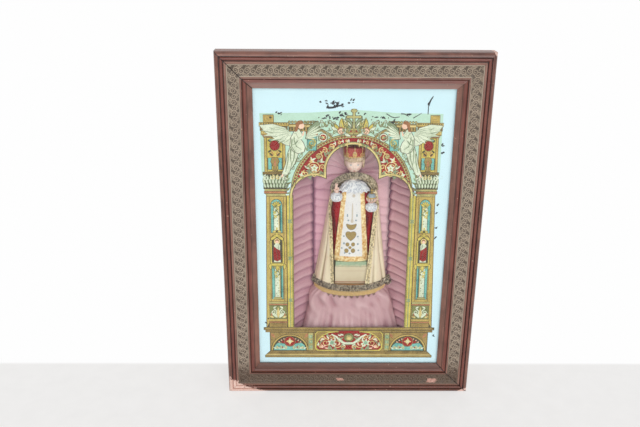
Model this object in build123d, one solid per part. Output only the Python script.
from build123d import *
import os

# A glazed devotional shadow box: a mitred moulded frame on a shallow pine box, a printed
# transfer on the glass, and a cloth-lined niche with a caped figure on a half-round base.
# Millimetres. X runs to the right, Y into the box, Z up. Depths are counted from the
# highest bead of the moulding towards the back.

# Front frame
FRAME_W = 432.0
FRAME_H = 610.0
MOULD_D = 30.0

# Members of the moulding from its outer edge to the glass
EDGE_BEAD_R = 7.0
QUIRK_W = 1.5
TORUS_R = 2.5
FILLET_W = 3.5
STRIP_W = 20.0
INNER_FILLET_W = 2.5
OVOLO_W = 5.5
CHAMFER_W = 9.0

# Depths of those members behind the highest bead
EDGE_SETBACK = 1.0
FILLET_SETBACK = 1.2
SEAT_SETBACK = 3.4
OVOLO_RISE = 1.3
CHAMFER_SETBACK = 4.0
SIGHT_SETBACK = 9.0
LIP_T = 2.0
LEDGE_W = 8.0
STRIP_T = 2.0

# Glass, its print and the mask board behind it
GLASS_T = 2.0
PRINT_T = 0.2
MASK_T = 2.5
STOP_W = 10.0
STOP_T = 10.0

# Pine box behind the frame
BOX_INSET = 12.0
BOARD_T = 12.0
BOX_D = 57.0
PLANK_T = 8.0
BLOCK_LEG = 14.0
BLOCK_LENGTH = 60.0

# Three-lobed opening of the print, heights above the foot of the frame
OPEN_FOOT = 126.5
LOBE_X = 64.0
LOBE_R = 38.5
LOBE_Z = 371.7
CROWN_LOBE_R = 44.0
CROWN_LOBE_Z = 419.5
ARCH_R = 99.0
ARCH_Z = 379.0
PILASTER_X = 127.0
PILASTER_W = 38.0
CORNICE_W = 46.0
CORNICE_H = 22.0
CORNICE_TOP = 500.0
PLINTH_HALF = 150.0
PLINTH_FOOT = 66.7
CROSS_TOP = 523.0
CROSS_W = 5.0
CROSS_ARM = 10.0

# Niche behind the opening
NICHE_BACK_D = 72.0
NICHE_REVEAL = 5.5
PANEL_T = 2.5
LINING_T = 3.0
LINING_FOOT = 60.0
LINING_TOP = 500.0
BATTEN_W = 24.0

# Half-round base with its braid, fringe and skirt
FIGURE_X = 2.0
BASE_TOP = 205.0
BASE_T = 12.0
BASE_HALF = 63.0
BASE_REACH = 46.0
NICHE_SIDE_ROOM = 7.0
BRAID_T = 2.5
BRAID_H = 11.0
FRINGE_T = 1.2
FRINGE_H = 10.0
SKIRT_T = 1.5
SKIRT_FLARE = 34.0
SKIRT_DROP = 46.0
POST_W = 40.0
POST_D = 24.0

# Figure
FIGURE_D = 47.0
STAND_W = 56.0
STAND_D = 30.0
STAND_H = 33.0
MOUND_H = 9.0
BODY_H = 147.0
HEAD_H = 50.0
HEAD_R = 15.3
HEAD_LEAN = 1.8
CROWN_H = 18.0
CROWN_FLARE = 1.5
CUFF_R = 9.5
HAND_H = 17.0
ORB_R = 8.0
ORB_GRIP_H = 2.5
CAPE_T = 2.0
CAPE_BRAID_W = 5.0
CAPE_BRAID_T = 1.8

# Fasteners and hangers
NAIL_R = 0.9
NAIL_HEAD_R = 1.7
NAIL_HEAD_T = 0.7
CORNER_NAIL = 40.0
BOX_NAIL = 34.0
BACK_NAIL = 26.0
SCREW_R = 1.8
SCREW_HEAD_R = 3.6
SCREW_HEAD_T = 2.0
SCREW_L = 32.0
DOWEL_R = 3.0
DOWEL_L = 24.0
PEG_R = 3.0
PEG_L = 18.0
EYE_Z = 470.0
EYE_HOLE_R = 2.0
EYE_WIRE_R = 1.2
EYE_SHANK_R = 1.4
EYE_SHANK_L = 22.0
EYE_STAND = 1.2
RING_R = 11.0
RING_WIRE_R = 1.2

# Running clearance, and the play left round a driven fastener
GAP = 0.3
DRIVE_GAP = 0.05

# Sizes that follow from the ones above
OUTER_BAND = EDGE_BEAD_R + QUIRK_W + 2 * TORUS_R + QUIRK_W + FILLET_W
INNER_BAND = INNER_FILLET_W + QUIRK_W + OVOLO_W + CHAMFER_W
MOULD_W = OUTER_BAND + STRIP_W + INNER_BAND
GLASS_D = SIGHT_SETBACK + LIP_T
PRINT_D = GLASS_D + GLASS_T
MASK_D = PRINT_D + PRINT_T + GAP / 2
STOP_D = MASK_D + MASK_T
BACK_D = MOULD_D + BOX_D
REAR_D = BACK_D + PLANK_T
EYE_R = EYE_HOLE_R + EYE_WIRE_R
EYE_D = REAR_D + EYE_STAND + EYE_R + EYE_WIRE_R
TOTAL_D = EYE_D + EYE_R + EYE_WIRE_R
FRONT_Y = -TOTAL_D / 2
BOX_HALF = FRAME_W / 2 - BOX_INSET
BOX_TOP = FRAME_H - BOX_INSET
PANE_HALF = FRAME_W / 2 - MOULD_W + LEDGE_W
PANE_FOOT = MOULD_W - LEDGE_W
PANE_TOP = FRAME_H - PANE_FOOT
OPEN_HALF = LOBE_X + LOBE_R
PLINTH_TOP = OPEN_FOOT
NICHE_FRONT_HALF = OPEN_HALF + NICHE_REVEAL
NICHE_BACK_HALF = BASE_HALF + NICHE_SIDE_ROOM
NICHE_SLOPE = (NICHE_FRONT_HALF - NICHE_BACK_HALF) / (NICHE_BACK_D - STOP_D)
NICHE_SKEW = (1 + NICHE_SLOPE**2) ** 0.5
BASE_BACK_D = NICHE_BACK_D - LINING_T - GAP
CAPE_BACK_D = BASE_BACK_D - 2.0
STAND_TOP = BASE_TOP + STAND_H
BODY_FOOT = STAND_TOP + MOUND_H
BODY_TOP = BODY_FOOT + BODY_H
EYE_X = BOX_HALF - BOARD_T / 2
RING_Z = EYE_Z - (EYE_HOLE_R - RING_WIRE_R - GAP)


def depth(distance):
    """Y of a depth counted from the front of the frame."""
    return FRONT_Y + distance


def slab(outline, near, far):
    """Solid of an outline drawn in X and Z, between two depths."""
    face_plane = Plane((0, depth(far), 0), x_dir=(1, 0, 0), z_dir=(0, -1, 0))
    return extrude(face_plane * outline, far - near)


def block(outline, low, high):
    """Solid of a plan outline drawn in X and Y, between two heights."""
    return extrude(Plane((0, 0, low)) * outline, high - low)


def brick(left, right, near, far, low, high):
    """Rectangular block between its six faces."""
    centre = Pos((left + right) / 2, depth((near + far) / 2), (low + high) / 2)
    return centre * Box(right - left, far - near, high - low)


def driven(at, direction, shank_r, length, head_r, head_t, play=0.0):
    """Nail or screw with its head flush at a point, or its hole when play is given."""
    axis = Plane(at, z_dir=direction)
    shank = Pos(0, 0, (length + play) / 2) * Cylinder(shank_r + play, length + play)
    head = Pos(0, 0, (head_t + play) / 2) * Cylinder(head_r + play, head_t + play)
    return axis * (shank + head)


def half_oval(half_width, reach, back):
    """Plan outline of the front half of an oval whose straight side lies at a depth."""
    front_half = Pos(0, -reach) * Rectangle(2 * half_width + 2, 2 * reach)
    return Pos(FIGURE_X, depth(back)) * (Ellipse(half_width, reach) & front_half)


# Moulded frame: one section, mitred at both ends of each length


def moulding_section():
    """Section of the moulding, depth across and width upwards."""
    torus_start = EDGE_BEAD_R + QUIRK_W
    torus_end = torus_start + 2 * TORUS_R
    fillet_start = torus_end + QUIRK_W
    strip_end = OUTER_BAND + STRIP_W
    inner_end = strip_end + INNER_FILLET_W
    ovolo_start = inner_end + QUIRK_W
    ovolo_end = ovolo_start + OVOLO_W
    floor = depth(SEAT_SETBACK)
    edge = depth(EDGE_SETBACK)
    fillet_face = depth(FILLET_SETBACK)
    torus_foot = depth(TORUS_R)
    chamfer = depth(CHAMFER_SETBACK)
    sight = depth(SIGHT_SETBACK)
    ledge = depth(GLASS_D)
    back = depth(MOULD_D)
    bead_mid = EDGE_BEAD_R * (1 - 0.5**0.5)
    ovolo_mid = (SEAT_SETBACK + CHAMFER_SETBACK) / 2 - OVOLO_RISE
    with BuildSketch(Plane.YZ) as section:
        with BuildLine():
            Line((back, 0), (edge + EDGE_BEAD_R, 0))
            ThreePointArc((edge + EDGE_BEAD_R, 0), (edge + bead_mid, bead_mid), (edge, EDGE_BEAD_R))
            Polyline(
                (edge, EDGE_BEAD_R),
                (floor, EDGE_BEAD_R),
                (floor, torus_start),
                (torus_foot, torus_start),
            )
            ThreePointArc(
                (torus_foot, torus_start),
                (FRONT_Y, torus_start + TORUS_R),
                (torus_foot, torus_end),
            )
            Polyline(
                (torus_foot, torus_end),
                (floor, torus_end),
                (floor, fillet_start),
                (fillet_face, fillet_start),
                (fillet_face, OUTER_BAND),
                (floor, OUTER_BAND),
                (floor, strip_end),
                (fillet_face, strip_end),
                (fillet_face, inner_end),
                (floor, inner_end),
                (floor, ovolo_start),
            )
            ThreePointArc(
                (floor, ovolo_start),
                (depth(ovolo_mid), ovolo_start + OVOLO_W / 2),
                (chamfer, ovolo_end),
            )
            Polyline(
                (chamfer, ovolo_end),
                (sight, MOULD_W),
                (ledge, MOULD_W),
                (ledge, MOULD_W - LEDGE_W),
                (back, MOULD_W - LEDGE_W),
                (back, 0),
            )
        make_face()
    return section.sketch


def strip_section():
    """Section of the ornament strip in its seat between the two fillets."""
    near = depth(SEAT_SETBACK - STRIP_T)
    middle = Pos(near + STRIP_T / 2, OUTER_BAND + STRIP_W / 2)
    return Plane.YZ * (middle * Rectangle(STRIP_T, STRIP_W - GAP))


def mitred(section, length):
    """Length of a section along X with both ends cut at 45 degrees."""
    bar = extrude(section, length / 2, both=True)
    keep = Polygon(
        (-length / 2, 0),
        (length / 2, 0),
        (length / 2 - MOULD_W, MOULD_W),
        (MOULD_W - length / 2, MOULD_W),
        align=None,
    )
    return bar & slab(keep, 0, MOULD_D)


BOTTOM = Location((0, 0, 0))
TOP = Location((0, 0, FRAME_H), (0, 180, 0))
LEFT = Location((-FRAME_W / 2, 0, FRAME_H / 2), (0, 90, 0))
RIGHT = Location((FRAME_W / 2, 0, FRAME_H / 2), (0, -90, 0))

rail = mitred(moulding_section(), FRAME_W)
stile = mitred(moulding_section(), FRAME_H)
short_strip = mitred(strip_section(), FRAME_W)
long_strip = mitred(strip_section(), FRAME_H)

# Two brads in each corner, driven through the stile into the end of the rail
corner_at = []
for side in (-1, 1):
    for height in (MOULD_W * 0.2, MOULD_W * 0.45):
        for level in (height, FRAME_H - height):
            corner_at.append(((side * FRAME_W / 2, depth(MOULD_D * 0.66), level), (-side, 0, 0)))
corner_size = (NAIL_R, CORNER_NAIL, NAIL_HEAD_R, NAIL_HEAD_T)
corner_brads = [driven(at, way, *corner_size) for at, way in corner_at]
corner_holes = [driven(at, way, *corner_size, DRIVE_GAP) for at, way in corner_at]

bottom_rail = BOTTOM * rail - corner_holes
top_rail = TOP * rail - corner_holes
left_stile = LEFT * stile - corner_holes
right_stile = RIGHT * stile - corner_holes

# Glass in the rebate, with the transfer print on its back face


def opening(grow=0.0):
    """Three-lobed opening of the print, grown all round."""
    crown = Pos(0, CROWN_LOBE_Z) * Circle(CROWN_LOBE_R + grow)
    throat_h = CROWN_LOBE_Z - LOBE_Z
    throat = Pos(0, LOBE_Z + throat_h / 2) * Rectangle(2 * (CROWN_LOBE_R + grow), throat_h)
    left_lobe = Pos(-LOBE_X, LOBE_Z) * Circle(LOBE_R + grow)
    right_lobe = Pos(LOBE_X, LOBE_Z) * Circle(LOBE_R + grow)
    jamb_h = LOBE_Z - OPEN_FOOT + grow
    jambs = Pos(0, LOBE_Z - jamb_h / 2) * Rectangle(2 * (OPEN_HALF + grow), jamb_h)
    return jambs + throat + crown + left_lobe + right_lobe


def arcade():
    """Outline of the whole printed arcade before the opening is taken out."""
    plinth_h = PLINTH_TOP - PLINTH_FOOT
    outline = Pos(0, PLINTH_FOOT + plinth_h / 2) * Rectangle(2 * PLINTH_HALF, plinth_h)
    shaft_h = CORNICE_TOP - PLINTH_TOP
    for side in (-1, 1):
        outline += Pos(side * PILASTER_X, PLINTH_TOP + shaft_h / 2) * Rectangle(PILASTER_W, shaft_h)
        cornice_z = CORNICE_TOP - CORNICE_H / 2
        outline += Pos(side * PILASTER_X, cornice_z) * Rectangle(CORNICE_W, CORNICE_H)
    span = PILASTER_X - PILASTER_W / 2
    outline += Pos(0, (PLINTH_TOP + CORNICE_TOP) / 2) * Rectangle(2 * span + 1, shaft_h)
    outline += Pos(0, ARCH_Z) * Circle(ARCH_R)
    stem_h = CROSS_TOP - CORNICE_TOP + 1
    outline += Pos(0, CROSS_TOP - stem_h / 2) * Rectangle(CROSS_W, stem_h)
    outline += Pos(0, CROSS_TOP - stem_h * 0.4) * Rectangle(2 * CROSS_ARM, CROSS_W)
    return outline


def pane(near, far):
    """Sheet that fills the rebate, with running clearance at its edges."""
    return brick(GAP - PANE_HALF, PANE_HALF - GAP, near, far, PANE_FOOT + GAP, PANE_TOP - GAP)


glass = pane(GLASS_D, PRINT_D)
transfer = slab(arcade() - opening(), PRINT_D, PRINT_D + PRINT_T)
mask = pane(MASK_D, STOP_D) - slab(opening(1.0), MASK_D - 1, STOP_D + 1)

# Four stops hold the glass and the mask board in the rebate
stop_end = STOP_D + STOP_T
stop_out = PANE_HALF - GAP
stop_in = stop_out - STOP_W
stop_low = PANE_FOOT + GAP
stop_high = PANE_TOP - GAP
stop_bottom = brick(-stop_out, stop_out, STOP_D, stop_end, stop_low, stop_low + STOP_W)
stop_top = brick(-stop_out, stop_out, STOP_D, stop_end, stop_high - STOP_W, stop_high)
stop_left = brick(-stop_out, -stop_in, STOP_D, stop_end, stop_low + STOP_W, stop_high - STOP_W)
stop_right = brick(stop_in, stop_out, STOP_D, stop_end, stop_low + STOP_W, stop_high - STOP_W)

# Pine box: boards butted and nailed, three planks nailed on the back

inner_half = BOX_HALF - BOARD_T
inner_top = BOX_TOP - BOARD_T
box_bottom = brick(-BOX_HALF, BOX_HALF, MOULD_D, BACK_D, 0, BOARD_T)
box_top = brick(-BOX_HALF, BOX_HALF, MOULD_D, BACK_D, inner_top, BOX_TOP)
box_left = brick(-BOX_HALF, -inner_half, MOULD_D, BACK_D, BOARD_T, inner_top)
box_right = brick(inner_half, BOX_HALF, MOULD_D, BACK_D, BOARD_T, inner_top)
plank_w = 2 * BOX_HALF / 3
plank_gap = GAP / 2
plank_left = brick(-BOX_HALF, -plank_w / 2 - plank_gap, BACK_D, REAR_D, 0, BOX_TOP)
plank_middle = brick(plank_gap - plank_w / 2, plank_w / 2 - plank_gap, BACK_D, REAR_D, 0, BOX_TOP)
plank_right = brick(plank_w / 2 + plank_gap, BOX_HALF, BACK_D, REAR_D, 0, BOX_TOP)

box_nail_at = []
for side in (-1, 1):
    for share in (0.25, 0.75):
        place = depth(MOULD_D + BOX_D * share)
        box_nail_at.append(((side * EYE_X, place, 0), (0, 0, 1)))
        box_nail_at.append(((side * EYE_X, place, BOX_TOP), (0, 0, -1)))
box_nail_size = (NAIL_R, BOX_NAIL, NAIL_HEAD_R, NAIL_HEAD_T)
box_nails = [driven(at, way, *box_nail_size) for at, way in box_nail_at]
box_holes = [driven(at, way, *box_nail_size, DRIVE_GAP) for at, way in box_nail_at]

back_nail_at = []
for middle in (-plank_w, 0, plank_w):
    for side in (-1, 1):
        for level in (BOARD_T / 2, BOX_TOP - BOARD_T / 2):
            back_nail_at.append((middle + side * plank_w * 0.3, level))
for side in (-1, 1):
    for share in (0.2, 0.4, 0.6):
        back_nail_at.append((side * EYE_X, BOX_TOP * share))
back_nail_size = (NAIL_R, BACK_NAIL, NAIL_HEAD_R, NAIL_HEAD_T)
back_nails = [driven((x, depth(REAR_D), z), (0, -1, 0), *back_nail_size) for x, z in back_nail_at]
back_holes = [
    driven((x, depth(REAR_D), z), (0, -1, 0), *back_nail_size, DRIVE_GAP) for x, z in back_nail_at
]

# Glue blocks in the corner between the frame's back and the box boards
corner = Polygon((0, 0), (BLOCK_LEG, 0), (0, BLOCK_LEG), align=None)
glue_blocks = []
for side in (-1, 1):
    for share in (0.25, 0.75):
        upright = block(corner, 0, BLOCK_LENGTH)
        turned = upright if side < 0 else mirror(upright, Plane.YZ)
        place = Pos(side * inner_half, depth(MOULD_D), FRAME_H * share - BLOCK_LENGTH / 2)
        glue_blocks.append(place * turned)
    lying = extrude(Plane.YZ * corner, BLOCK_LENGTH / 2, both=True)
    hung = mirror(lying, Plane.XY)
    block_x = side * (inner_half - BLOCK_LEG - BLOCK_LENGTH / 2)
    glue_blocks.append(Pos(block_x, depth(MOULD_D), BOARD_T) * lying)
    glue_blocks.append(Pos(block_x, depth(MOULD_D), inner_top) * hung)

# Screw eyes through the outer planks into the box sides, each with a loose ring


def screw_eye(side, play=0.0):
    """Screw eye with its loop across X, or the bore for its shank when play is given."""
    axis = Plane((side * EYE_X, depth(EYE_D), EYE_Z), z_dir=(0, -1, 0))
    start = EYE_R
    end = EYE_D - REAR_D + EYE_SHANK_L + play
    shank = Pos(0, 0, (start + end) / 2) * Cylinder(EYE_SHANK_R + play, end - start)
    if play:
        return axis * shank
    loop = Pos(side * EYE_X, depth(EYE_D), EYE_Z) * Rot(0, 90, 0) * Torus(EYE_R, EYE_WIRE_R)
    return loop + axis * shank


eye_left = screw_eye(-1)
eye_right = screw_eye(1)
eye_bores = [screw_eye(-1, DRIVE_GAP), screw_eye(1, DRIVE_GAP)]
hung_ring = Rot(90, 0, 0) * Torus(RING_R, RING_WIRE_R)
ring_left = Pos(-EYE_X, depth(EYE_D), RING_Z - RING_R) * hung_ring
ring_right = Pos(EYE_X, depth(EYE_D), RING_Z - RING_R) * hung_ring

# Niche: card panels that stand between the bottom and top boards


def niche_edge(inward, at):
    """Half-width of the niche at a depth, measured inward from the panel's inner face."""
    return NICHE_BACK_HALF + (NICHE_BACK_D - at) * NICHE_SLOPE - inward * NICHE_SKEW


def niche_side(inward, thick, near, far, low, high):
    """Right-hand slanting sheet of the niche between two depths and two heights."""
    plan = Polygon(
        (niche_edge(inward, near), depth(near)),
        (niche_edge(inward - thick, near), depth(near)),
        (niche_edge(inward - thick, far), depth(far)),
        (niche_edge(inward, far), depth(far)),
        align=None,
    )
    return block(plan, low, high)


niche_high = inner_top - GAP
side_panel = niche_side(0, PANEL_T, STOP_D, NICHE_BACK_D, BOARD_T, niche_high)
foot_clear = brick(
    -stop_out, stop_out, STOP_D - 1, stop_end + GAP, stop_low - GAP, stop_low + STOP_W + GAP
)
head_clear = brick(
    -stop_out, stop_out, STOP_D - 1, stop_end + GAP, stop_high - STOP_W - GAP, stop_high + GAP
)
rail_low = brick(-FRAME_W / 2, FRAME_W / 2, 0, MOULD_D + GAP, 0, PANE_FOOT + GAP)
rail_high = brick(-FRAME_W / 2, FRAME_W / 2, 0, MOULD_D + GAP, PANE_TOP - GAP, FRAME_H)
niche_right = side_panel - [foot_clear, head_clear, rail_low, rail_high]
niche_left = mirror(niche_right, Plane.YZ)
back_half = niche_edge(-PANEL_T, NICHE_BACK_D)
niche_back = brick(
    -back_half, back_half, NICHE_BACK_D, NICHE_BACK_D + PANEL_T, BOARD_T, niche_high
)
batten_x = NICHE_BACK_HALF - BATTEN_W / 2
batten_foot = LINING_FOOT
batten_near = NICHE_BACK_D + PANEL_T
batten_left = brick(
    -batten_x - BATTEN_W / 2, BATTEN_W / 2 - batten_x, batten_near, BACK_D, batten_foot, LINING_TOP
)
batten_right = mirror(batten_left, Plane.YZ)

# Cloth linings, plain sheets here
lining_near = STOP_D + GAP
lining_far = NICHE_BACK_D - LINING_T - GAP
lining_foot = max(LINING_FOOT, stop_low + STOP_W + GAP)
lining_right = niche_side(LINING_T, LINING_T, lining_near, lining_far, lining_foot, LINING_TOP)
lining_left = mirror(lining_right, Plane.YZ)
lining_half = niche_edge(LINING_T, lining_far) + LINING_T
lining_half = min(lining_half, niche_edge(0, NICHE_BACK_D) - GAP)
lining_back = brick(
    -lining_half, lining_half, NICHE_BACK_D - LINING_T, NICHE_BACK_D, LINING_FOOT, LINING_TOP
)

# Base on a post, with braid round its edge, a gold fringe and a gathered skirt

base_low = BASE_TOP - BASE_T
post_d = FIGURE_D + STAND_D / 2 - POST_D
screw_x = STAND_W * 0.28
screw_size = (SCREW_R, SCREW_L, SCREW_HEAD_R, SCREW_HEAD_T)
screw_at = []
for side in (-1, 1):
    place = depth(post_d + POST_D / 2)
    screw_at.append(((FIGURE_X + side * screw_x, place, BASE_TOP), (0, 0, -1)))
    screw_at.append(((FIGURE_X + side * screw_x, place, 0), (0, 0, 1)))
screws = [driven(at, way, *screw_size) for at, way in screw_at]
screw_holes = [driven(at, way, *screw_size, DRIVE_GAP) for at, way in screw_at]
dowel_z = BASE_TOP - BASE_T * 0.7
dowel_at = Pos(FIGURE_X, depth(FIGURE_D), dowel_z + DOWEL_L / 2)
dowel = dowel_at * Cylinder(DOWEL_R, DOWEL_L)
dowel_hole = dowel_at * Cylinder(DOWEL_R + DRIVE_GAP, DOWEL_L + 2 * DRIVE_GAP)

post = brick(
    FIGURE_X - POST_W / 2, FIGURE_X + POST_W / 2, post_d, post_d + POST_D, BOARD_T, base_low
)
post = post - screw_holes
box_bottom = box_bottom - [*box_holes, *back_holes, *screw_holes]
box_top = box_top - [*box_holes, *back_holes]
box_left = box_left - [*box_holes, *back_holes, eye_bores[0]]
box_right = box_right - [*box_holes, *back_holes, eye_bores[1]]
plank_left = plank_left - [*back_holes, eye_bores[0]]
plank_middle = plank_middle - back_holes
plank_right = plank_right - [*back_holes, eye_bores[1]]

base = block(half_oval(BASE_HALF, BASE_REACH, BASE_BACK_D), base_low, BASE_TOP)
base = base - [*screw_holes, dowel_hole]
braid_in = GAP / 3
braid_out = braid_in + BRAID_T
braid_plan = half_oval(BASE_HALF + braid_out, BASE_REACH + braid_out, BASE_BACK_D)
braid_plan = braid_plan - half_oval(BASE_HALF + braid_in, BASE_REACH + braid_in, BASE_BACK_D)
braid_low = BASE_TOP - BRAID_H
base_braid = block(braid_plan, braid_low, BASE_TOP + 1.0)
fringe_out = braid_in + FRINGE_T
fringe_plan = half_oval(BASE_HALF + fringe_out, BASE_REACH + fringe_out, BASE_BACK_D)
fringe_plan = fringe_plan - half_oval(BASE_HALF + braid_in, BASE_REACH + braid_in, BASE_BACK_D)
fringe_low = braid_low - FRINGE_H
base_fringe = block(fringe_plan, fringe_low, braid_low)

skirt_reach = BASE_BACK_D - STOP_D - 2 * GAP
skirt_levels = (
    (base_low - GAP, BASE_HALF - 4, BASE_REACH - 4),
    (OPEN_FOOT - SKIRT_DROP, BASE_HALF - 4 + SKIRT_FLARE, skirt_reach - 2),
)


def skirt_shape(inward, behind):
    """Flaring skirt under the base, taken in all round and run on behind its back edge."""
    rings = []
    for level, half, reach in skirt_levels:
        outline = half_oval(half - inward, reach - inward + behind, BASE_BACK_D + behind)
        rings.append(Plane((0, 0, level)) * outline)
    return loft(rings, ruled=True)


room_near = STOP_D + GAP
room_far = NICHE_BACK_D
niche_room = Polygon(
    (-niche_edge(LINING_T + GAP, room_near), depth(room_near)),
    (niche_edge(LINING_T + GAP, room_near), depth(room_near)),
    (niche_edge(LINING_T + GAP, room_far), depth(room_far)),
    (-niche_edge(LINING_T + GAP, room_far), depth(room_far)),
    align=None,
)
skirt = skirt_shape(0, 0) - skirt_shape(SKIRT_T, 2 * SKIRT_T)
skirt = skirt & block(niche_room, BOARD_T, BASE_TOP)

# Figure: plinth with a grassy mound, robed body, head, crown, hands and cape

stand_centre = Pos(FIGURE_X, depth(FIGURE_D))
stand = block(stand_centre * Rectangle(STAND_W, STAND_D), BASE_TOP, STAND_TOP)
mound_plan = stand_centre * RectangleRounded(STAND_W - 2, STAND_D - 1, STAND_D * 0.25)
mound = block(mound_plan, STAND_TOP, BODY_FOOT)
stand = stand + fillet(mound.faces().sort_by(Axis.Z)[-1].edges(), MOUND_H * 0.35)
stand = stand - dowel_hole

body_rings = (
    (0.0, STAND_W / 2, STAND_D / 2 - 2.0),
    (0.36, STAND_W / 2, STAND_D / 2 - 1.8),
    (0.66, STAND_W / 2 + 3.0, STAND_D / 2 - 1.0),
    (0.85, STAND_W / 2 - 1.5, STAND_D / 2 - 2.0),
    (0.945, STAND_W / 4, STAND_D / 3),
    (1.0, 7.5, 7.5),
)


def body_shape(grow):
    """Robed body as a stack of ovals, grown all round."""
    rings = []
    for share, half, reach in body_rings:
        level = BODY_FOOT + BODY_H * share
        ring_plane = Plane((FIGURE_X, depth(FIGURE_D), level))
        rings.append(ring_plane * Ellipse(half + grow, reach + grow))
    return loft(rings, ruled=True)


peg_at = Pos(FIGURE_X, depth(FIGURE_D), BODY_TOP)
neck_peg = peg_at * Cylinder(PEG_R, PEG_L)
peg_hole = peg_at * Cylinder(PEG_R + DRIVE_GAP, PEG_L + 2 * DRIVE_GAP)
body = body_shape(0) - peg_hole

head_profile = (
    (0, 0),
    (HEAD_R * 0.42, 0),
    (HEAD_R * 0.42, HEAD_H * 0.19),
    (HEAD_R * 0.75, HEAD_H * 0.30),
    (HEAD_R * 0.97, HEAD_H * 0.48),
    (HEAD_R, HEAD_H * 0.64),
    (HEAD_R * 0.72, HEAD_H * 0.88),
    (0, HEAD_H),
)
with BuildSketch(Plane.XZ) as head_face:
    with BuildLine():
        Polyline(*head_profile[:3])
        Spline(*head_profile[2:], tangents=((0.6, 1), (-1, 0)))
        Line(head_profile[-1], head_profile[0])
    make_face()
head_x = FIGURE_X + HEAD_LEAN
head = Pos(head_x, depth(FIGURE_D), BODY_TOP) * revolve(head_face.sketch, Axis.Z) - peg_hole

crown_foot = BODY_TOP + HEAD_H * 0.765
crown_in = HEAD_R + GAP
crown_out = crown_in + 1.6
crown_seat = BODY_TOP + HEAD_H + GAP / 2 - crown_foot
crown_wall = Polyline(
    (crown_in, 0),
    (crown_out, 0),
    (crown_out + CROWN_FLARE, CROWN_H),
    (0, CROWN_H),
    (0, crown_seat),
    (crown_in + CROWN_FLARE * crown_seat / CROWN_H, crown_seat),
    (crown_in, 0),
)
crown_solid = revolve(Plane.XZ * make_face(crown_wall), Axis.Z)
crown = Pos(head_x, depth(FIGURE_D), crown_foot) * crown_solid

collar_rings = ((0.87, STAND_W / 2 - 1.0), (0.93, STAND_W * 0.385), (0.985, STAND_W * 0.22))
collar_shape = loft(
    [
        Plane((FIGURE_X, depth(FIGURE_D), BODY_FOOT + BODY_H * share)) * Ellipse(half, half * 0.56)
        for share, half in collar_rings
    ],
    ruled=True,
)
body_clear = body_shape(GAP)
collar = collar_shape - body_clear
collar = collar.solids().sort_by(SortBy.VOLUME)[-1]

bless_x = FIGURE_X - STAND_W / 2 + 1.0
bless_d = FIGURE_D - STAND_D / 2 + 1.5
bless_z = BODY_FOOT + BODY_H * 0.816
orb_x = FIGURE_X + STAND_W / 2 + 4.0
orb_d = FIGURE_D - STAND_D / 2 + 3.5
orb_z = BODY_FOOT + BODY_H * 0.69
hand_rise = CUFF_R * 0.75


def cuff(across, back, level):
    """Ruffled cuff seated against the robe, flat on top for the hand."""
    ball = Pos(across, depth(back), level) * Sphere(CUFF_R)
    hand_foot = level + hand_rise
    above = brick(across - 20, across + 20, back - 20, back + 20, hand_foot, hand_foot + 20)
    return ball - [body_clear, collar_shape, above]


cuff_right = cuff(bless_x, bless_d, bless_z)
cuff_left = cuff(orb_x, orb_d, orb_z)
palm = Pos(bless_x, depth(bless_d)) * RectangleRounded(8.0, 5.0, 2.0)
palm_foot = bless_z + hand_rise
hand_right = block(palm, palm_foot, palm_foot + HAND_H) - [body_clear, collar_shape]
grip = Pos(orb_x, depth(orb_d)) * RectangleRounded(9.0, 6.0, 2.0)
grip_foot = orb_z + hand_rise
grip_top = grip_foot + ORB_GRIP_H
hand_left = block(grip, grip_foot, grip_top) - [body_clear, collar_shape]
orb_ball = Pos(orb_x, depth(orb_d), grip_top + ORB_R * 0.9) * Sphere(ORB_R)
orb_cut = brick(orb_x - 20, orb_x + 20, orb_d - 20, orb_d + 20, grip_foot, grip_top)
orb = orb_ball - [orb_cut, body_clear, collar_shape]

cape_rings = (
    (BASE_TOP + GAP, BASE_HALF - 1.0, BASE_REACH - 2.0),
    (BASE_TOP + STAND_H + MOUND_H, BASE_HALF - 7.0, BASE_REACH - 6.0),
    (BODY_FOOT + BODY_H * 0.5, BASE_HALF - 14.0, BASE_REACH - 12.0),
    (BODY_FOOT + BODY_H * 0.8, BASE_HALF - 19.0, BASE_REACH - 16.0),
    (BODY_FOOT + BODY_H * 0.94, BASE_HALF * 0.48, BASE_REACH * 0.54),
    (BODY_TOP + 2.0, BASE_HALF * 0.25, BASE_REACH * 0.5),
)


def cape_shape(grow):
    """Cape as a half cone against the back of the niche, grown outwards."""
    back = CAPE_BACK_D + min(grow, 0)
    rings = [
        Plane((0, 0, level)) * half_oval(half + grow, reach + grow, back)
        for level, half, reach in cape_rings
    ]
    return loft(rings, ruled=True)


cape_edge = Polygon(
    (FIGURE_X - STAND_W / 2 - 8.0, BASE_TOP - 5),
    (FIGURE_X + STAND_W / 2, BASE_TOP - 5),
    (FIGURE_X + STAND_W / 2 + 11.5, BODY_FOOT + BODY_H * 0.74),
    (FIGURE_X + STAND_W / 2 + 4.0, BODY_FOOT + BODY_H * 0.86),
    (FIGURE_X + STAND_W * 0.39, BODY_FOOT + BODY_H * 0.95),
    (FIGURE_X + 6.0, BODY_TOP + 4),
    (FIGURE_X - 6.0, BODY_TOP + 4),
    (FIGURE_X - STAND_W * 0.39, BODY_FOOT + BODY_H * 0.95),
    (FIGURE_X - STAND_W / 2 - 3.0, BODY_FOOT + BODY_H * 0.86),
    (FIGURE_X - STAND_W / 2 - 9.0, BODY_FOOT + BODY_H * 0.74),
    align=None,
)
front_far = FIGURE_D + STAND_D / 2 - 1.0
front_cut = slab(cape_edge, 0, front_far)
cape = cape_shape(0) - cape_shape(-CAPE_T) - front_cut
border = slab(offset(cape_edge, CAPE_BRAID_W), 0, front_far) - front_cut
cape_braid = (cape_shape(GAP / 3 + CAPE_BRAID_T) - cape_shape(GAP / 3)) & border
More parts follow.
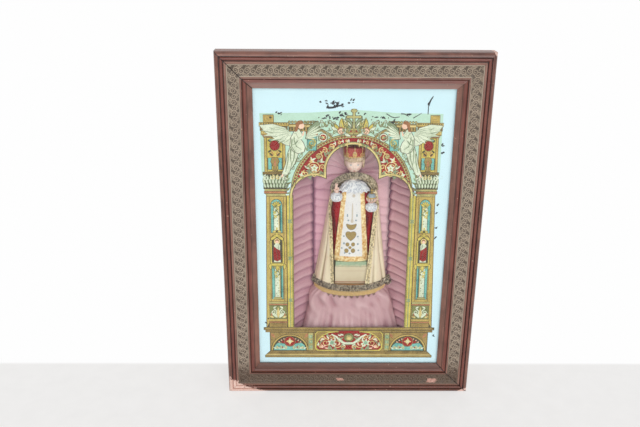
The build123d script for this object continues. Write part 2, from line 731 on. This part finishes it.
cape_braid = cape_braid & block(stand_centre * Rectangle(200, 200), BASE_TOP + 1.5, BODY_TOP + 1)

nodes = {
    "frame_bottom_rail": bottom_rail,
    "frame_top_rail": top_rail,
    "frame_left_stile": left_stile,
    "frame_right_stile": right_stile,
    "ornament_strip_bottom": BOTTOM * short_strip,
    "ornament_strip_top": TOP * short_strip,
    "ornament_strip_left": LEFT * long_strip,
    "ornament_strip_right": RIGHT * long_strip,
    "corner_brads": corner_brads,
    "glass_pane": glass,
    "glass_print": transfer,
    "mask_board": mask,
    "glazing_stop_bottom": stop_bottom,
    "glazing_stop_top": stop_top,
    "glazing_stop_left": stop_left,
    "glazing_stop_right": stop_right,
    "box_bottom_board": box_bottom,
    "box_top_board": box_top,
    "box_left_board": box_left,
    "box_right_board": box_right,
    "box_nails": box_nails,
    "back_plank_left": plank_left,
    "back_plank_middle": plank_middle,
    "back_plank_right": plank_right,
    "back_nails": back_nails,
    "glue_blocks": glue_blocks,
    "niche_left_panel": niche_left,
    "niche_right_panel": niche_right,
    "niche_back_panel": niche_back,
    "niche_batten_left": batten_left,
    "niche_batten_right": batten_right,
    "lining_left": lining_left,
    "lining_right": lining_right,
    "lining_back": lining_back,
    "base_post": post,
    "base_shelf": base,
    "base_screws": screws,
    "base_braid": base_braid,
    "base_fringe": base_fringe,
    "base_skirt": skirt,
    "figure_stand": stand,
    "figure_dowel": dowel,
    "figure_body": body,
    "figure_neck_peg": neck_peg,
    "figure_head": head,
    "figure_crown": crown,
    "figure_collar": collar,
    "figure_cuff_right": cuff_right,
    "figure_hand_right": hand_right,
    "figure_cuff_left": cuff_left,
    "figure_hand_left": hand_left,
    "figure_orb": orb,
    "figure_cape": cape,
    "figure_cape_braid": cape_braid,
    "hanger_eye_left": eye_left,
    "hanger_eye_right": eye_right,
    "hanger_ring_left": ring_left,
    "hanger_ring_right": ring_right,
}

os.makedirs("parts", exist_ok=True)
for name, shape in nodes.items():
    pieces = shape if isinstance(shape, list) else [shape]
    solids = [solid for piece in pieces for solid in piece.solids()]
    whole = solids[0] if len(solids) == 1 else Compound(children=solids)
    export_step(whole, os.path.join("parts", name + ".step"))
